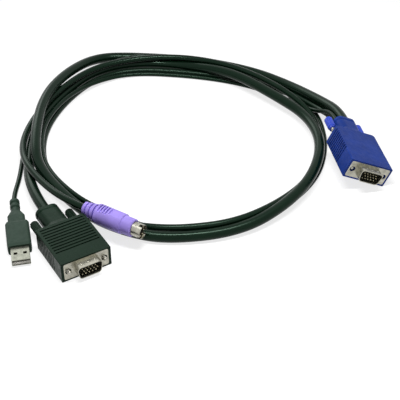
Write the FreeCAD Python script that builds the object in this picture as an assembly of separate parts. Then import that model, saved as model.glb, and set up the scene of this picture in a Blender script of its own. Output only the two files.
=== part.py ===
import FreeCAD, Part
import math
import os

# A cable with a display plug for a switch at one end and a display plug, a USB plug and a PS/2 plug
# at the other, lying coiled. Millimetres, +Z up, floor at z = 0. Each plug is drawn along its own
# +X (the way it is pushed in), +Y to its right and +Z up, then laid in its place.
Vec = FreeCAD.Vector
os.makedirs("parts", exist_ok=True)

# Cords
DISPLAY_CORD_D = 7.6
PS2_CORD_D = 4.8
USB_CORD_D = 3.4

# Display plugs
BLUE_L, BLUE_W, BLUE_CORNER, BLUE_RIM = 42.2, 33.5, 2.5, 0.8
BLACK_L, BLACK_W, BLACK_CORNER, BLACK_RIM = 38.7, 34.5, 1.5, 0.5
HOOD_T, NECK_END = 14.9, -60.7
FLANGE_W, FLANGE_H, FLANGE_T = 30.8, 12.5, 0.9
D_W, D_H, D_SLANT = 16.92, 8.36, 10.0
D_PROUD, D_WALL = 5.9, 0.5
CORE_W, CORE_H, CORE_L = 19.0, 10.2, 8.0
PIN_R, PIN_PITCH, ROW_PITCH = 0.38, 2.29, 1.98
SCREW_R, SCREW_SPACING = 1.42, 24.99
BORE_R, HOLE_R = 1.75, 2.1
KNOB_R, KNOB_L = 3.0, 12.5

# USB plug
USB_W, USB_T, USB_L = 15.7, 8.0, 25.0
USB_SHELL_W, USB_SHELL_H, USB_SHELL_OUT, USB_SHELL_IN = 12.0, 4.5, 12.5, 8.0
USB_WALL, USB_TAIL = 0.35, 50.0

# PS/2 plug
PS2_R, PS2_COLLAR_R, PS2_TUBE_R = 6.9, 6.1, 4.75
PS2_TUBE_OUT, PS2_TUBE_IN, PS2_WALL = 7.0, 4.5, 0.45
PS2_SEAT_R, PS2_TAIL = 4.5, 45.7

# Where each plug's front lies, and its heading, pitch and roll
SWITCH_AT = FreeCAD.Placement(Vec(113.5, 17.0, 13.45), FreeCAD.Rotation(-79.7, 0, -24))
VIDEO_AT = FreeCAD.Placement(Vec(-73.0, -69.5, HOOD_T / 2), FreeCAD.Rotation(-59, 0, 0))
USB_AT = FreeCAD.Placement(Vec(-117.5, -51.5, USB_T / 2), FreeCAD.Rotation(-77.8, 0, 0))
PS2_AT = FreeCAD.Placement(Vec(-38.4, -45.4, 13.35), FreeCAD.Rotation(-30, 1.8, 0))

# Where the cords leave the switch plug's neck, to the right and up from its middle
DISPLAY_EXIT = (0.3, 2.0)
PS2_EXIT = (-3.2, -3.4)
USB_EXIT = (-5.6, 0.6)

# Route points between the plugs
DISPLAY_ROUTE = [
    (91, 113, 11.6), (70, 144, 6.1), (40, 165.5, 4), (-3, 181.5, 4), (-57, 188, 4), (-89, 178, 7.6),
    (-111, 149.5, 13.4), (-120.5, 108, 17.3), (-121, 56, 15.5), (-113, 26, 9.8), (-78, -14.5, 4.8),
    (-52, -33, 4), (-23, -41.5, 4), (25, -34, 4.8), (57.5, -9, 8), (77.5, 22, 9), (86.5, 60, 8.9),
    (79, 95, 8), (56, 121, 9.4), (22, 154, 9.6), (-18, 173.5, 5.4), (-57, 178.5, 4), (-91, 162.5, 4),
    (-112, 126, 4), (-124, 88, 4), (-125.5, 52, 4.5),
]
PS2_ROUTE = [
    (89.8, 108.2, 6), (67, 135, 2.5), (34, 150, 2.5), (-8, 162.4, 2.5), (-57, 169.5, 2.5),
    (-86.5, 155.5, 2.5), (-105.5, 125, 2.6), (-116.5, 91, 2.6), (-117.5, 60, 2.6), (-108, 31, 2.6),
    (-82.5, -1, 2.6), (-60, -20.5, 2.6), (-38, -31, 5.4), (-12, -34.5, 7.2), (22, -28, 7.4),
    (53, -4.5, 5.5), (75, 25, 2.5), (89, 61, 2.5), (84.5, 97.5, 2.8), (61, 125.5, 7), (25.8, 160, 9.6),
    (-16, 177, 12), (-54, 178.5, 10.6), (-90, 162.5, 10.4), (-112, 125, 10.4), (-125.5, 92, 9.8),
    (-131, 63, 9), (-126, 33, 13), (-110, 7, 13),
]
USB_ROUTE = [
    (85.7, 106.6, 8.3), (61.5, 130.5, 1.8), (30, 145, 1.8), (-8, 158, 1.8), (-57, 165, 1.8),
    (-86, 149.5, 4), (-105, 122, 8), (-117, 90, 8.6), (-117.5, 58, 8.6), (-108, 30.5, 7.2),
    (-82, -1.5, 7.1), (-62, -16, 8), (-41, -24, 4), (-12, -31, 1.8), (22, -25, 1.8), (56, -6.5, 1.8),
    (82, 24, 1.8), (94.5, 62, 1.8), (93.5, 98, 1.8), (85, 121, 1.8), (67, 141.2, 1.8), (37, 160.4, 1.8),
    (-6, 176.6, 6.6), (-57, 184, 8.1), (-95, 167.5, 6), (-119.5, 131, 2), (-130.5, 90, 1.8),
    (-130.5, 55, 1.8), (-126, 23, 2.6),
]


def box(x0, x1, y0, y1, z0, z1):
    return Part.makeBox(x1 - x0, y1 - y0, z1 - z0, Vec(x0, y0, z0))


def rod(radius, x0, x1, y=0.0, z=0.0):
    return Part.makeCylinder(radius, x1 - x0, Vec(x0, y, z), Vec(1, 0, 0))


def rounded_wire(x, width, height, radius):
    """Rounded rectangle across the plug at x."""
    y, z, r = width / 2, height / 2, radius
    k = r * (1 - math.sqrt(0.5))
    spots = [(y - r, -z), (y - k, -z + k), (y, -z + r), (y, z - r), (y - k, z - k), (y - r, z),
             (-y + r, z), (-y + k, z - k), (-y, z - r), (-y, -z + r), (-y + k, -z + k), (-y + r, -z)]
    p = [Vec(x, a, b) for a, b in spots]
    edges = []
    for i in range(0, 12, 3):
        edges.append(Part.Arc(p[i], p[i + 1], p[i + 2]).toShape())
        edges.append(Part.LineSegment(p[i + 2], p[(i + 3) % 12]).toShape())
    return Part.Wire(edges)


def lofted(*sections):
    """Solid through rounded rectangles, each (x, width, height, corner radius)."""
    return Part.makeLoft([rounded_wire(*s) for s in sections], True, True)


def turned(points):
    """Solid of revolution about X from (x, radius) points."""
    p = [Vec(x, 0, r) for x, r in points]
    wire = Part.makePolygon(p + [Vec(p[-1].x, 0, 0), Vec(p[0].x, 0, 0), p[0]])
    return Part.Face(wire).revolve(Vec(0, 0, 0), Vec(1, 0, 0), 360)


def d_prism(x0, x1, margin):
    """D outline inside the display connector's shell, wide side up, drawn out by margin."""
    z = D_H / 2 + margin
    top = D_W / 2 + margin
    low = top - 2 * z * math.tan(math.radians(D_SLANT))
    p = [Vec(x0, top, z), Vec(x0, -top, z), Vec(x0, -low, -z), Vec(x0, low, -z), Vec(x0, top, z)]
    solid = Part.Face(Part.makePolygon(p)).extrude(Vec(x1 - x0, 0, 0))
    long_edges = [e for e in solid.Edges if abs(e.Length - (x1 - x0)) < 1e-6]
    return solid.makeFillet(2.0 + margin, long_edges)


def display_pins():
    tip, back = D_PROUD - 0.7, -FLANGE_T - CORE_L
    pins = []
    for row, shift in ((1, 0.0), (0, PIN_PITCH / 2), (-1, 0.0)):
        for i in range(5):
            pin = turned([(back, PIN_R), (tip - 0.4, PIN_R), (tip, 0.15)])
            pin.translate(Vec(0, (i - 2) * PIN_PITCH + shift - PIN_PITCH / 4, row * ROW_PITCH))
            pins.append(pin)
    return pins


def display_insulator(pins):
    core = box(-FLANGE_T - CORE_L, -FLANGE_T, -CORE_W / 2, CORE_W / 2, -CORE_H / 2, CORE_H / 2)
    return core.fuse(d_prism(-FLANGE_T, 0.8, 0)).removeSplitter().cut(pins)


def display_shell():
    flange = lofted((-FLANGE_T, FLANGE_W, FLANGE_H, 1.2), (0, FLANGE_W, FLANGE_H, 1.2))
    shell = flange.fuse(d_prism(-FLANGE_T, D_PROUD, D_WALL)).removeSplitter()
    shell = shell.cut(d_prism(-FLANGE_T - 1, D_PROUD + 1, 0))
    for side in (-1, 1):
        shell = shell.cut(rod(HOLE_R, -FLANGE_T, 0, side * SCREW_SPACING / 2))
    for y in (-4.5, 0, 4.5):
        for side in (-1, 1):
            shell = shell.cut(Part.makeSphere(0.7, Vec(3.2, y, side * (D_H / 2 + D_WALL + 0.45))))
    return shell


def hood_blank(length, width, corner, rim, base, neck):
    """Moulded block with rounded rear corners, easy edges and an oblong neck with a groove round it."""
    block = box(-length, 0, -width / 2, width / 2, -HOOD_T / 2, HOOD_T / 2)
    corners = [e for e in block.Edges if abs(e.Length - HOOD_T) < 1e-6 and e.CenterOfMass.x < -1]
    block = block.makeFillet(corner, corners)
    rims = [e for e in block.Edges if abs(abs(e.CenterOfMass.z) - HOOD_T / 2) < 1e-6
            and e.CenterOfMass.x < -0.01]
    block = block.makeFillet(rim, rims)
    foot_w, foot_h = base
    w, h = neck
    end = NECK_END
    stem = lofted((-length + 1, foot_w, foot_h, 5), (-length, foot_w, foot_h, 5), (-length - 4, w, h, 5),
                  (end + 5, w, h, 5), (end + 4.4, w - 1, h - 1, 4.6), (end + 3.6, w - 1, h - 1, 4.6),
                  (end + 3, w, h, 5), (end + 0.8, w, h, 5), (end, w - 1.2, h - 1.2, 4.6))
    return block.fuse(stem).removeSplitter()


def hood_hollows(length):
    """Room in a hood for the shell's flange, the insulator's core and the two screws."""
    flange = lofted((-FLANGE_T, FLANGE_W, FLANGE_H, 1.2), (0, FLANGE_W, FLANGE_H, 1.2))
    core = box(-FLANGE_T - CORE_L, -FLANGE_T, -CORE_W / 2, CORE_W / 2, -CORE_H / 2, CORE_H / 2)
    bores = [rod(BORE_R, -length - 4, 0, side * SCREW_SPACING / 2) for side in (-1, 1)]
    return [flange, core] + bores


def black_hood():
    """Hood with ten grip grooves across top and bottom and round both sides."""
    cuts = hood_hollows(BLACK_L)
    for i in range(10):
        x = -BLACK_L + 2.6 + 2.7 * i
        for side in (-1, 1):
            top = side * HOOD_T / 2
            flank = side * BLACK_W / 2
            cuts.append(box(x, x + 1.1, -15.2, 15.2, top - 0.7, top + 0.7))
            cuts.append(box(x, x + 1.1, flank - 0.7, flank + 0.7, -5.9, 5.9))
    return hood_blank(BLACK_L, BLACK_W, BLACK_CORNER, BLACK_RIM, (22, 13), (16.4, 11.4)).cut(cuts)


def blue_hood():
    """Hood with ten finger notches along both flanks."""
    cuts = hood_hollows(BLUE_L)
    for i in range(10):
        x = -BLUE_L + 5.0 + 2.4 * i
        for side in (-1, 1):
            flank = side * BLUE_W / 2
            cuts.append(box(x, x + 1.1, flank - 0.8, flank + 0.8, -HOOD_T, HOOD_T))
    return hood_blank(BLUE_L, BLUE_W, BLUE_CORNER, BLUE_RIM, (24, 13.2), (17.5, 12.6)).cut(cuts)


def thumbscrew(side, front, tip):
    """Ribbed, slotted knob and the screw that it is moulded on, on one side of a display plug."""
    y = side * SCREW_SPACING / 2
    back = front - KNOB_L
    seat = front - 8.0
    screw = turned([(seat, SCREW_R), (tip - 0.6, SCREW_R), (tip, SCREW_R - 0.5)])
    knob = turned([(back, KNOB_R - 0.7), (back + 0.7, KNOB_R), (front - 2.2, KNOB_R), (front - 1.6, 2.4),
                   (front, 2.4)])
    cuts = [rod(SCREW_R, seat, front + 1), box(back - 1, back + 1.2, -KNOB_R, KNOB_R, -0.5, 0.5)]
    for i in range(16):
        angle = math.radians(22.5 * i + 11.25)
        cuts.append(rod(0.42, back - 1, front - 2.0, (KNOB_R + 0.1) * math.cos(angle),
                        (KNOB_R + 0.1) * math.sin(angle)))
    knob = knob.cut(cuts)
    screw.translate(Vec(0, y, 0))
    knob.translate(Vec(0, y, 0))
    return knob, screw


def usb_moulding():
    """Grip, stepped shoulder and ringed strain relief of the USB plug."""
    grip = lofted((-USB_L, 14.4, 7.2, 1.6), (-USB_L + 1.6, USB_W, USB_T, 2), (-2.5, USB_W, USB_T, 2),
                  (0, 15.0, 7.5, 1.6))
    shoulder = lofted((-36.5, 8.2, 6.4, 3), (-32, 11.6, 7.0, 2), (-USB_L + 1, 11.6, 7.0, 2))
    tail = turned([(-USB_TAIL, 2.7), (-USB_TAIL + 0.5, 3.4), (-47.2, 3.4), (-46.6, 2.6), (-45.2, 2.6),
                   (-44.6, 3.4), (-42.2, 3.4), (-41.6, 2.6), (-40.2, 2.6), (-39.6, 3.2), (-36, 3.2)])
    hollow = box(-USB_SHELL_IN, 0, -USB_SHELL_W / 2, USB_SHELL_W / 2, -USB_SHELL_H / 2, USB_SHELL_H / 2)
    return grip.fuse([shoulder, tail]).removeSplitter().cut(hollow)


def usb_shell():
    """Folded metal sleeve with the latch windows in both faces and the seam below."""
    y, z, w = USB_SHELL_W / 2, USB_SHELL_H / 2, USB_WALL
    sleeve = box(-USB_SHELL_IN, USB_SHELL_OUT, -y, y, -z, z)
    edges = [e for e in sleeve.Edges if abs(e.Length - USB_SHELL_IN - USB_SHELL_OUT) < 1e-6]
    sleeve = sleeve.makeFillet(0.3, edges)
    cuts = [box(-USB_SHELL_IN - 1, USB_SHELL_OUT + 1, -y + w, y - w, -z + w, z - w)]
    for middle in (-3.0, 3.0):
        cuts.append(box(4.9, 7.1, middle - 1.2, middle + 1.2, -z - 1, z + 1))
    cuts.append(box(-USB_SHELL_IN - 1, USB_SHELL_OUT + 1, -0.05, 0.05, -z - 1, -z + w))
    return sleeve.cut(cuts)


def usb_contacts():
    return [box(0.4, 9.6, y - 0.55, y + 0.55, -0.25, 0.0) for y in (-3.5, -1.0, 1.0, 3.5)]


def usb_tongue(contacts):
    y, z = USB_SHELL_W / 2 - USB_WALL, USB_SHELL_H / 2 - USB_WALL
    tongue = box(-1, USB_SHELL_OUT - 0.6, -y, y, -z, 0)
    return tongue.fuse(box(-USB_SHELL_IN, -1, -y, y, -z, z)).removeSplitter().cut(contacts)


def ps2_moulding():
    """Round grip with cross ribs and a panel, a collar in front and a three-ring strain relief."""
    profile = [(-PS2_TAIL, 3.8)]
    for i in range(3):
        x = -PS2_TAIL + 3.4 * i
        r = 4.5 + 0.55 * i
        profile += [(x + 0.4, r), (x + 2.3, r + 0.2), (x + 2.6, r - 1.2), (x + 3.3, r - 1.2)]
    profile += [(-35.5, 5.8), (-34.7, PS2_R), (-14.9, PS2_R), (-14.3, PS2_COLLAR_R),
                (-PS2_TUBE_OUT - 0.6, PS2_COLLAR_R), (-PS2_TUBE_OUT, PS2_COLLAR_R - 0.5)]
    cuts = [rod(PS2_SEAT_R, -PS2_TUBE_OUT - PS2_TUBE_IN, -PS2_TUBE_OUT)]
    for i in range(4):
        x = -33.0 + 2.0 * i
        cuts.append(box(x, x + 1.0, -4.0, 4.0, PS2_R - 1.4, PS2_R + 1))
    cuts.append(box(-24.6, -17.6, -3.1, 3.1, PS2_R - 0.9, PS2_R + 1))
    return turned(profile).cut(cuts)


def ps2_tube():
    """Metal tube, drawn in where it is moulded in, with a key notch and two shorter ones."""
    back, step = -PS2_TUBE_OUT - PS2_TUBE_IN, -PS2_TUBE_OUT + PS2_WALL
    tube = rod(PS2_TUBE_R, -PS2_TUBE_OUT, 0).fuse(rod(PS2_SEAT_R, back, -PS2_TUBE_OUT))
    tube = tube.cut(rod(PS2_TUBE_R - PS2_WALL, step, 1))
    tube = tube.cut(rod(PS2_SEAT_R - PS2_WALL, back - 1, step))
    for turn, length in ((0, 2.6), (120, 2.0), (240, 2.0)):
        notch = box(-length, 1, -1.1, 1.1, PS2_TUBE_R - 0.9, PS2_TUBE_R + 1)
        notch.rotate(Vec(0, 0, 0), Vec(1, 0, 0), turn)
        tube = tube.cut(notch)
    return tube


def ps2_pins():
    spots = [(-1.35, -2.9), (1.35, -2.9), (-3.1, -0.5), (3.1, -0.5), (-2.4, 2.1), (2.4, 2.1)]
    pins = []
    for y, z in spots:
        pin = turned([(-11.0, 0.5), (-1.5, 0.5), (-1.1, 0.25)])
        pin.translate(Vec(0, y, z))
        pins.append(pin)
    return pins


def ps2_insulator(pins):
    step = -PS2_TUBE_OUT + PS2_WALL
    disc = rod(PS2_SEAT_R - PS2_WALL, -PS2_TUBE_OUT - PS2_TUBE_IN, step)
    face = rod(PS2_TUBE_R - PS2_WALL, step, -5.6)
    key = box(-7, -1.6, -0.8, 0.8, -0.7, 1.3)
    return disc.fuse([face, key]).removeSplitter().cut(pins)


def cord(name, points, diameter):
    """Tube along straight runs joined by tangent arcs."""
    p = [Vec(*q) for q in points]
    edges = []
    radii = []
    start = p[0]
    length = 0.0
    for a, b, c in zip(p, p[1:], p[2:]):
        u = (b - a).normalize()
        w = (c - b).normalize()
        turn = u.getAngle(w)
        reach = 0.45 * min((b - a).Length, (c - b).Length)
        radius = reach / math.tan(turn / 2)
        first, last = b - u * reach, b + w * reach
        inward = (w - u).normalize()
        middle = b + inward * (radius / math.cos(turn / 2) - radius)
        edges.append(Part.LineSegment(start, first).toShape())
        edges.append(Part.Arc(first, middle, last).toShape())
        length += (first - start).Length + radius * turn
        radii.append(radius)
        start = last
    edges.append(Part.LineSegment(start, p[-1]).toShape())
    length += (p[-1] - start).Length
    ring = Part.Wire(Part.makeCircle(diameter / 2, p[0], p[1] - p[0]))
    tube = Part.Wire(edges).makePipeShell([ring], True, False)
    section = math.pi * diameter ** 2 / 4
    print(name, "length", round(length), "smallest radius", round(min(radii), 1),
          "volume over section times length", round(tube.Volume / (section * length), 4))
    return tube


def on_plug(place, x, y=0.0, z=0.0):
    return tuple(place.multVec(Vec(x, y, z)))


def lead(place, end, run, y=0.0, z=0.0):
    """The face a cord leaves and the end of its first straight run."""
    return [on_plug(place, end, y, z), on_plug(place, end - run, y, z)]


def save(name, shape, place=None):
    solid = shape if not isinstance(shape, list) else Part.makeCompound(shape)
    solid = solid.copy()
    if place:
        solid.Placement = place.multiply(solid.Placement)
    solid.exportStep("parts/" + name + ".step")
    print(name, [round(v, 1) for v in (solid.BoundBox.XMin, solid.BoundBox.XMax, solid.BoundBox.YMin,
          solid.BoundBox.YMax, solid.BoundBox.ZMin, solid.BoundBox.ZMax)], len(solid.Solids), solid.isValid())


def display_plug(name, hood, knob_front, screw_tip, place):
    pins = display_pins()
    save(name + "_hood", hood, place)
    save(name + "_shell", display_shell(), place)
    save(name + "_insulator", display_insulator(pins), place)
    save(name + "_pins", pins, place)
    for side, word in ((-1, "left"), (1, "right")):
        knob, screw = thumbscrew(side, knob_front, screw_tip)
        save(name + "_" + word + "_knob", knob, place)
        save(name + "_" + word + "_screw", screw, place)


def usb_plug():
    contacts = usb_contacts()
    save("usb_moulding", usb_moulding(), USB_AT)
    save("usb_shell", usb_shell(), USB_AT)
    save("usb_tongue", usb_tongue(contacts), USB_AT)
    save("usb_contacts", contacts, USB_AT)


def ps2_plug():
    pins = ps2_pins()
    save("ps2_moulding", ps2_moulding(), PS2_AT)
    save("ps2_tube", ps2_tube(), PS2_AT)
    save("ps2_insulator", ps2_insulator(pins), PS2_AT)
    save("ps2_pins", pins, PS2_AT)


def cords():
    display = lead(SWITCH_AT, NECK_END, 14, *DISPLAY_EXIT) + DISPLAY_ROUTE
    display += lead(VIDEO_AT, NECK_END, 28)[::-1]
    ps2 = lead(SWITCH_AT, NECK_END, 14, *PS2_EXIT) + PS2_ROUTE
    ps2 += lead(PS2_AT, -PS2_TAIL, 15)[::-1]
    usb = lead(SWITCH_AT, NECK_END, 14, *USB_EXIT) + USB_ROUTE
    usb += lead(USB_AT, -USB_TAIL, 9)[::-1]
    save("display_cord", cord("display cord", display, DISPLAY_CORD_D))
    save("ps2_cord", cord("ps2 cord", ps2, PS2_CORD_D))
    save("usb_cord", cord("usb cord", usb, USB_CORD_D))


display_plug("switch", blue_hood(), -48.5, -0.9, SWITCH_AT)
display_plug("video", black_hood(), -40.7, 2.6, VIDEO_AT)
usb_plug()
ps2_plug()
cords()
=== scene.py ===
import math

import bpy
from mathutils import Matrix, Vector

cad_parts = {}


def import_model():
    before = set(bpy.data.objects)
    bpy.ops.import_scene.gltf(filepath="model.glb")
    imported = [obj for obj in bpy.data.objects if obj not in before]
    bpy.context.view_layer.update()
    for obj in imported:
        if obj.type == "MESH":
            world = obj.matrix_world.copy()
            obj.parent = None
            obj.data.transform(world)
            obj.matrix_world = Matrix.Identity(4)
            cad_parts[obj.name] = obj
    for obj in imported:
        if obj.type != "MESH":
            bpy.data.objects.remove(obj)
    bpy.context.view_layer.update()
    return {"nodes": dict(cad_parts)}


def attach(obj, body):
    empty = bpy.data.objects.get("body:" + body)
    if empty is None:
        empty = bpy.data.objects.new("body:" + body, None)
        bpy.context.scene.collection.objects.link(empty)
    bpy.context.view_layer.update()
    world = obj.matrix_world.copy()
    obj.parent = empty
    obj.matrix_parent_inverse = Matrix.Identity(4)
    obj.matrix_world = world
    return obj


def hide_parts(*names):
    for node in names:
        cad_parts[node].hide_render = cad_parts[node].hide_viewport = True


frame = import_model()
nodes = frame["nodes"]
scene = bpy.context.scene
scene.view_settings.view_transform = "Standard"

MM = 0.001

# Cords: diameters in millimetres, lengths in metres
DISPLAY_CORD_D = 7.6
PS2_CORD_D = 4.8
USB_CORD_D = 3.4

# How finely a cord is drawn, round it and along it
BEVEL_STEPS = 10
SPLINE_STEPS = 12

# Where each plug's front lies in millimetres, and its heading, pitch and roll in degrees
SWITCH_AT = ((113.5, 17.0, 13.45), (-79.7, 0, -24))
VIDEO_AT = ((-73.0, -69.5, 7.45), (-59, 0, 0))
USB_AT = ((-117.5, -51.5, 4.0), (-77.8, 0, 0))
PS2_AT = ((-38.4, -45.4, 13.35), (-30, 1.8, 0))

# Where the cords meet the plugs, along each plug from its front, in millimetres
NECK_END = -60.7
USB_TAIL = -50.0
PS2_TAIL = -45.7

# How far a cord runs straight on behind each plug, in millimetres
SWITCH_RUN = 14
VIDEO_RUN = 28
PS2_RUN = 15
USB_RUN = 6

# Where the cords leave the blue plug's neck, across it and up from its middle, in millimetres
DISPLAY_EXIT = (0.3, 2.0)
PS2_EXIT = (-3.2, -3.4)
USB_EXIT = (-5.6, 0.6)

# Route points in millimetres: from the blue plug over the far side, down the left, along the near side,
# up the right, and over the far side a second time to the cord's own plug
DISPLAY_ROUTE = [
    (90.5, 111.5, 10.6), (69, 141.5, 5.4), (40, 165.5, 4), (-3, 181.5, 4), (-57, 188, 4), (-88, 182.5, 6.2),
    (-108, 146.5, 13.8), (-120.5, 106, 17.2), (-121, 56, 15.5), (-114.5, 24.5, 9.4), (-79.5, -16, 4.6),
    (-52, -33, 4), (-23, -41.5, 4), (25, -34, 4.8), (57.5, -9, 8), (77.5, 22, 9), (86.5, 60, 8.9),
    (79, 95, 8), (56, 121, 9.4), (22, 154, 11), (-18, 175.2, 4), (-57, 178.5, 4), (-91, 162.5, 4),
    (-112, 126, 4), (-124, 88, 4), (-125.5, 52, 4.5),
]
PS2_ROUTE = [
    (89.6, 107, 5.8), (66, 136, 3.4), (34, 154.6, 2.5), (-8, 165.4, 2.5), (-57, 170.5, 2.5),
    (-86.5, 155.5, 2.5), (-105.5, 125, 2.6), (-116.5, 91, 2.6), (-117.5, 60, 2.6), (-109.5, 29.5, 2.6),
    (-84.5, -3, 2.6), (-61, -21.5, 2.6), (-38, -31, 5.4), (-12, -34.5, 7.2), (22, -28, 7.4),
    (53, -4.5, 5.5), (75, 25, 2.5), (86.5, 60.5, 2.5), (86, 98.5, 3.8), (65, 127.5, 10.2), (25.8, 160, 12.2),
    (-16, 176.5, 11), (-56, 175, 10), (-89, 159.8, 10.2), (-112.5, 125.5, 10.4), (-125.5, 92, 9.8),
    (-131, 63, 9), (-126, 33, 13), (-110, 7, 13),
]
USB_ROUTE = [
    (85, 106.6, 4.2), (60.5, 132, 1.8), (30, 150.5, 1.8), (-8, 161.2, 1.8), (-57, 166, 1.8),
    (-86, 149.5, 4), (-105, 122, 8), (-117, 90, 8.6), (-117.5, 58, 8.6), (-109.5, 29, 7.2),
    (-84, -4, 7.2), (-60.5, -15.7, 4.2), (-40, -26, 1.8), (-12, -31, 1.8), (22, -25, 1.8), (56, -6.5, 1.8),
    (80.5, 25, 1.8), (90.5, 62, 1.8), (89.8, 98, 1.8), (82, 119.5, 1.8), (66, 140.5, 1.8), (37, 160.4, 1.8),
    (-6, 178.5, 8.2), (-56, 184.5, 8.6), (-93.5, 166.5, 1.8), (-119.5, 131, 2), (-130.5, 90, 1.8),
    (-130, 55, 1.8), (-128.6, 26, 2.2),
]

# Colours as written for the eye, in 0 to 255
JACKET = (4, 20, 10)
BLACK = (14, 30, 20)
USB_BLACK = (34, 48, 40)
BLUE = (28, 53, 126)
KNOB_BLUE = (32, 62, 176)
PURPLE = (146, 128, 208)
NICKEL = (174, 172, 159)
USB_NICKEL = (140, 142, 130)
STEEL = (170, 168, 158)
CONTACT = (206, 198, 168)
INSULATOR = (16, 22, 16)
TONGUE = (214, 211, 203)

# Tints of what shines on plastic
PLAIN = (255, 255, 255)
SHADE = (212, 255, 228)

# How dark and how light a surface's colour drifts, as factors
PLASTIC_DRIFT = (0.92, 1.08)
METAL_DRIFT = (0.86, 1.06)

# How far a surface's roughness drifts down and up
SMOOTHER = 0.07
ROUGHER = 0.09

# The part of a noise's range that is used
NOISE_LOW = 0.3
NOISE_HIGH = 0.7

# Scales of the noises, in waves to a metre
CLOUDS = 85.0
STAINS = 300.0
POLISH = 900.0
SCRATCHES = 700.0
SCRATCH_STRETCH = (1.0, 6.0, 1.0)

# Bumps: strengths, and depths in metres
GRAIN_STRENGTH = 0.35
SCRATCH_STRENGTH = 0.12
SCRATCH_DEPTH = 0.00006
THREAD_STRENGTH = 1.0
THREAD_DEPTH = 0.0001

# The jackscrews: their thread in millimetres, and their roughness
THREAD_PITCH = 0.635
STEEL_ROUGH = 0.32

# Floor: half its side in metres, its grey for light and for the eye, and its glow for the eye
FLOOR_REACH = 6
FLOOR_LIT = 0.8
FLOOR_SEEN = 0.3
FLOOR_GLOW = 0.76

# Strength of the surroundings, for light and for the eye
WORLD_LIT = 0.18
WORLD_SEEN = 1.0

# Softboxes: place, aim and size in metres, and power in watts
TOP_LIGHT = {"spot": (0.0, -0.06, 0.55), "aim": (0.0, -0.06, 0.0), "size": (0.36, 0.06), "watts": 3.5}
BACK_LIGHT = {"spot": (-0.5, 0.8, 0.55), "aim": (0.0, 0.05, 0.0), "size": (0.6, 0.4), "watts": 2.4}

# Camera: looks along +Y and down at a point of the floor, in millimetres and degrees
LOOK_AT = (-2.0, 4.0, 0.0)
ELEVATION = 38.845
DISTANCE = 691.5
LENS = 90.6
SENSOR = 36.0
CLIP_START_M = 0.01


def linear(rgb):
    """Colour for a shader from a colour as written for the eye (the sRGB curve)."""
    parts = [v / 255 for v in rgb]
    return tuple(p / 12.92 if p <= 0.04045 else ((p + 0.055) / 1.055) ** 2.4 for p in parts) + (1.0,)


def grey(level):
    """Plain grey for a shader."""
    return (level, level, level, 1.0)


def on_plug(place, along, across=0.0, up=0.0):
    """A point of a plug, from its own frame to the shared frame, in millimetres."""
    spot, (yaw, pitch, roll) = place
    turn = Matrix.Rotation(math.radians(yaw), 3, "Z") @ Matrix.Rotation(math.radians(pitch), 3, "Y")
    turn = turn @ Matrix.Rotation(math.radians(roll), 3, "X")
    return Vector(spot) + turn @ Vector((along, across, up))


class Shader:
    """Node tree of one material, built up step by step."""

    def __init__(self, name):
        self.material = bpy.data.materials.new(name)
        self.material.use_nodes = True
        self.tree = self.material.node_tree
        self.bsdf = self.tree.nodes["Principled BSDF"]
        self.coords = self.tree.nodes.new("ShaderNodeTexCoord")

    def link(self, out, into):
        self.tree.links.new(out, into)

    def noise(self, scale, detail=3.0, stretch=None):
        """Noise in the object's own space, drawn out along an axis if asked."""
        node = self.tree.nodes.new("ShaderNodeTexNoise")
        node.inputs["Scale"].default_value = scale
        node.inputs["Detail"].default_value = detail
        source = self.coords.outputs["Object"]
        if stretch:
            mapping = self.tree.nodes.new("ShaderNodeMapping")
            mapping.inputs["Scale"].default_value = stretch
            self.link(source, mapping.inputs["Vector"])
            source = mapping.outputs["Vector"]
        self.link(source, node.inputs["Vector"])
        return node.outputs["Fac"]

    def span(self, value, low, high):
        """A noise spread from low to high."""
        node = self.tree.nodes.new("ShaderNodeMapRange")
        node.inputs["From Min"].default_value = NOISE_LOW
        node.inputs["From Max"].default_value = NOISE_HIGH
        node.inputs["To Min"].default_value = low
        node.inputs["To Max"].default_value = high
        self.link(value, node.inputs["Value"])
        return node.outputs["Result"]

    def colour(self, value, rgb, drift):
        """Base colour that drifts between a darker and a lighter tone."""
        darker, lighter = [tuple(v * factor for v in rgb) for factor in drift]
        node = self.tree.nodes.new("ShaderNodeMix")
        node.data_type = "RGBA"
        node.inputs["A"].default_value = linear(darker)
        node.inputs["B"].default_value = linear(lighter)
        self.link(self.span(value, 0.0, 1.0), node.inputs["Factor"])
        self.link(node.outputs["Result"], self.bsdf.inputs["Base Color"])

    def rough(self, value, middle):
        """Roughness that drifts round a middle."""
        drifting = self.span(value, middle - SMOOTHER, middle + ROUGHER)
        self.link(drifting, self.bsdf.inputs["Roughness"])

    def bump(self, value, strength, depth):
        node = self.tree.nodes.new("ShaderNodeBump")
        node.inputs["Strength"].default_value = strength
        node.inputs["Distance"].default_value = depth
        self.link(value, node.inputs["Height"])
        self.link(node.outputs["Normal"], self.bsdf.inputs["Normal"])


def plastic(name, rgb, rough, sheen=0.3, gleam=PLAIN, patch=420.0, grain=2600.0, depth=0.00012):
    """Moulded plastic: cloudy colour, uneven sheen and a fine grain."""
    s = Shader(name)
    s.colour(s.noise(CLOUDS), rgb, PLASTIC_DRIFT)
    s.rough(s.noise(patch, detail=4.0), rough)
    s.bump(s.noise(grain, detail=2.0), GRAIN_STRENGTH, depth)
    s.bsdf.inputs["Specular IOR Level"].default_value = sheen
    s.bsdf.inputs["Specular Tint"].default_value = linear(gleam)
    return s.material


def plated(name, rgb, rough):
    """Shader of plated metal with faint stains and uneven polish, still without a bump."""
    s = Shader(name)
    s.colour(s.noise(STAINS, detail=4.0), rgb, METAL_DRIFT)
    s.rough(s.noise(POLISH), rough)
    s.bsdf.inputs["Metallic"].default_value = 1.0
    return s


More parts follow.
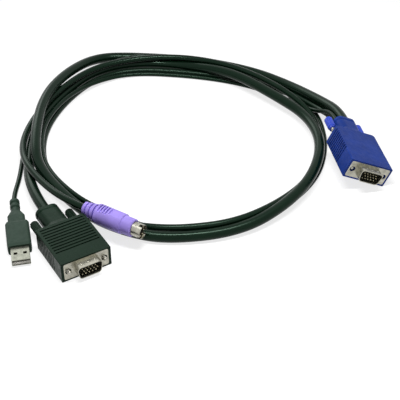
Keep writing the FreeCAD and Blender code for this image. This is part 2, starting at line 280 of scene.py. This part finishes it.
def metal(name, rgb, rough):
    """Plated metal with drawn scratches."""
    s = plated(name, rgb, rough)
    s.bump(s.noise(SCRATCHES, stretch=SCRATCH_STRETCH), SCRATCH_STRENGTH, SCRATCH_DEPTH)
    return s.material


def thread(name, rgb, place):
    """Plated screw with a thread along its plug's axis."""
    s = plated(name, rgb, STEEL_ROUGH)
    axis = on_plug(place, 1.0) - on_plug(place, 0.0)
    turns = s.tree.nodes.new("ShaderNodeVectorMath")
    turns.operation = "DOT_PRODUCT"
    turns.inputs[1].default_value = axis * (2 * math.pi / (THREAD_PITCH * MM))
    wave = s.tree.nodes.new("ShaderNodeMath")
    wave.operation = "SINE"
    s.link(s.coords.outputs["Object"], turns.inputs[0])
    s.link(turns.outputs["Value"], wave.inputs[0])
    s.bump(wave.outputs["Value"], THREAD_STRENGTH, THREAD_DEPTH)
    return s.material


MATERIALS = {
    "blue": plastic("blue_plastic", BLUE, 0.42, 0.06),
    "blue_knob": plastic("blue_knob", KNOB_BLUE, 0.32),
    "black": plastic("black_plastic", BLACK, 0.36, 0.11, SHADE),
    "usb_black": plastic("usb_black", USB_BLACK, 0.46, 0.18, SHADE),
    "jacket": plastic("cord_jacket", JACKET, 0.23, 0.17, SHADE, patch=25.0, grain=240.0, depth=0.00001),
    "purple": plastic("purple_plastic", PURPLE, 0.45),
    "nickel": metal("nickel", NICKEL, 0.3),
    "usb_nickel": metal("usb_nickel", USB_NICKEL, 0.34),
    "switch_steel": thread("switch_steel", STEEL, SWITCH_AT),
    "video_steel": thread("video_steel", STEEL, VIDEO_AT),
    "contact": metal("contact", CONTACT, 0.25),
    "insulator": plastic("insulator", INSULATOR, 0.5, 0.2),
    "tongue": plastic("usb_tongue", TONGUE, 0.5, 0.2),
}

NODE_LOOKS = {
    "switch_hood": "blue", "switch_left_knob": "blue_knob", "switch_right_knob": "blue_knob",
    "video_hood": "black", "video_left_knob": "black", "video_right_knob": "black",
    "usb_moulding": "usb_black", "ps2_moulding": "purple",
    "switch_shell": "nickel", "video_shell": "nickel", "usb_shell": "usb_nickel", "ps2_tube": "nickel",
    "switch_left_screw": "switch_steel", "switch_right_screw": "switch_steel",
    "video_left_screw": "video_steel", "video_right_screw": "video_steel",
    "switch_pins": "contact", "video_pins": "contact", "ps2_pins": "contact", "usb_contacts": "contact",
    "switch_insulator": "insulator", "video_insulator": "insulator",
    "ps2_insulator": "insulator", "usb_tongue": "tongue",
}


def dress_nodes():
    """Give every rigid CAD node its material."""
    for name, look in NODE_LOOKS.items():
        slots = nodes[name].data.materials
        slots.clear()
        slots.append(MATERIALS[look])


def lead(place, end, run, across=0.0, up=0.0):
    """The face that a cord leaves and the end of its first straight run."""
    return [on_plug(place, end, across, up), on_plug(place, end - run, across, up)]


def cord(name, node, points, diameter):
    """One cord through its points, in place of its CAD tube."""
    curve = bpy.data.curves.new(name, "CURVE")
    curve.dimensions = "3D"
    curve.bevel_depth = diameter / 2 * MM
    curve.bevel_resolution = BEVEL_STEPS
    curve.use_fill_caps = True
    spline = curve.splines.new("NURBS")
    spline.points.add(len(points) - 1)
    for spot, point in zip(points, spline.points):
        point.co = (spot[0] * MM, spot[1] * MM, spot[2] * MM, 1.0)
    spline.order_u = 3
    spline.use_endpoint_u = True
    spline.resolution_u = SPLINE_STEPS
    obj = bpy.data.objects.new(name, curve)
    scene.collection.objects.link(obj)
    curve.materials.append(MATERIALS["jacket"])
    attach(obj, "cable")
    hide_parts(node)


def cords():
    """The three cords, each from the blue plug's neck to its own plug."""
    display = lead(SWITCH_AT, NECK_END, SWITCH_RUN, *DISPLAY_EXIT) + DISPLAY_ROUTE
    display += lead(VIDEO_AT, NECK_END, VIDEO_RUN)[::-1]
    ps2 = lead(SWITCH_AT, NECK_END, SWITCH_RUN, *PS2_EXIT) + PS2_ROUTE
    ps2 += lead(PS2_AT, PS2_TAIL, PS2_RUN)[::-1]
    usb = lead(SWITCH_AT, NECK_END, SWITCH_RUN, *USB_EXIT) + USB_ROUTE
    usb += lead(USB_AT, USB_TAIL, USB_RUN)[::-1]
    cord("display_lead", "display_cord", display, DISPLAY_CORD_D)
    cord("ps2_lead", "ps2_cord", ps2, PS2_CORD_D)
    cord("usb_lead", "usb_cord", usb, USB_CORD_D)


def split_rays(tree, lit, seen, output):
    """One shader for the rays that light the part, another for camera, glossy and transmission rays."""
    path = tree.nodes.new("ShaderNodeLightPath")
    looks = path.outputs["Is Camera Ray"]
    for name in ("Is Glossy Ray", "Is Transmission Ray"):
        node = tree.nodes.new("ShaderNodeMath")
        node.operation = "MAXIMUM"
        tree.links.new(looks, node.inputs[0])
        tree.links.new(path.outputs[name], node.inputs[1])
        looks = node.outputs["Value"]
    mix = tree.nodes.new("ShaderNodeMixShader")
    tree.links.new(looks, mix.inputs["Fac"])
    tree.links.new(lit.outputs[0], mix.inputs[1])
    tree.links.new(seen.outputs[0], mix.inputs[2])
    tree.links.new(mix.outputs[0], output.inputs["Surface"])


def floor():
    """Pale floor that shows white to the camera and keeps a soft shadow."""
    mesh = bpy.data.meshes.new("floor")
    r = FLOOR_REACH
    mesh.from_pydata([(-r, -r, 0), (r, -r, 0), (r, r, 0), (-r, r, 0)], [], [(0, 1, 2, 3)])
    obj = bpy.data.objects.new("floor", mesh)
    scene.collection.objects.link(obj)
    material = bpy.data.materials.new("floor")
    material.use_nodes = True
    tree = material.node_tree
    tree.nodes.remove(tree.nodes["Principled BSDF"])
    plain = tree.nodes.new("ShaderNodeBsdfDiffuse")
    plain.inputs["Color"].default_value = grey(FLOOR_LIT)
    pale = tree.nodes.new("ShaderNodeBsdfDiffuse")
    pale.inputs["Color"].default_value = grey(FLOOR_SEEN)
    glow = tree.nodes.new("ShaderNodeEmission")
    glow.inputs["Strength"].default_value = FLOOR_GLOW
    both = tree.nodes.new("ShaderNodeAddShader")
    tree.links.new(pale.outputs[0], both.inputs[0])
    tree.links.new(glow.outputs[0], both.inputs[1])
    split_rays(tree, plain, both, tree.nodes["Material Output"])
    mesh.materials.append(material)


def world():
    """White surroundings for the eye, softer light for the surfaces."""
    studio = bpy.data.worlds.new("studio")
    scene.world = studio
    studio.use_nodes = True
    tree = studio.node_tree
    soft = tree.nodes["Background"]
    soft.inputs["Color"].default_value = grey(1.0)
    soft.inputs["Strength"].default_value = WORLD_LIT
    white = tree.nodes.new("ShaderNodeBackground")
    white.inputs["Color"].default_value = grey(1.0)
    white.inputs["Strength"].default_value = WORLD_SEEN
    split_rays(tree, soft, white, tree.nodes["World Output"])


def softbox(name, spot, aim, size, watts):
    """Oblong light that faces its aim."""
    light = bpy.data.lights.new(name, "AREA")
    light.shape = "RECTANGLE"
    light.size, light.size_y = size
    light.energy = watts
    obj = bpy.data.objects.new(name, light)
    obj.location = spot
    obj.rotation_euler = (Vector(aim) - Vector(spot)).to_track_quat("-Z", "Y").to_euler()
    scene.collection.objects.link(obj)


def camera():
    """The photograph's view."""
    cam = bpy.data.cameras.new("camera")
    cam.sensor_width = SENSOR
    cam.lens = LENS
    cam.clip_start = CLIP_START_M
    obj = bpy.data.objects.new("camera", cam)
    tilt = math.radians(ELEVATION)
    ahead = Vector((0.0, math.cos(tilt), -math.sin(tilt)))
    obj.location = (Vector(LOOK_AT) - ahead * DISTANCE) * MM
    obj.rotation_euler = (math.radians(90.0 - ELEVATION), 0.0, 0.0)
    scene.collection.objects.link(obj)
    scene.camera = obj


dress_nodes()
cords()
floor()
world()
softbox("top", **TOP_LIGHT)
softbox("back", **BACK_LIGHT)
camera()
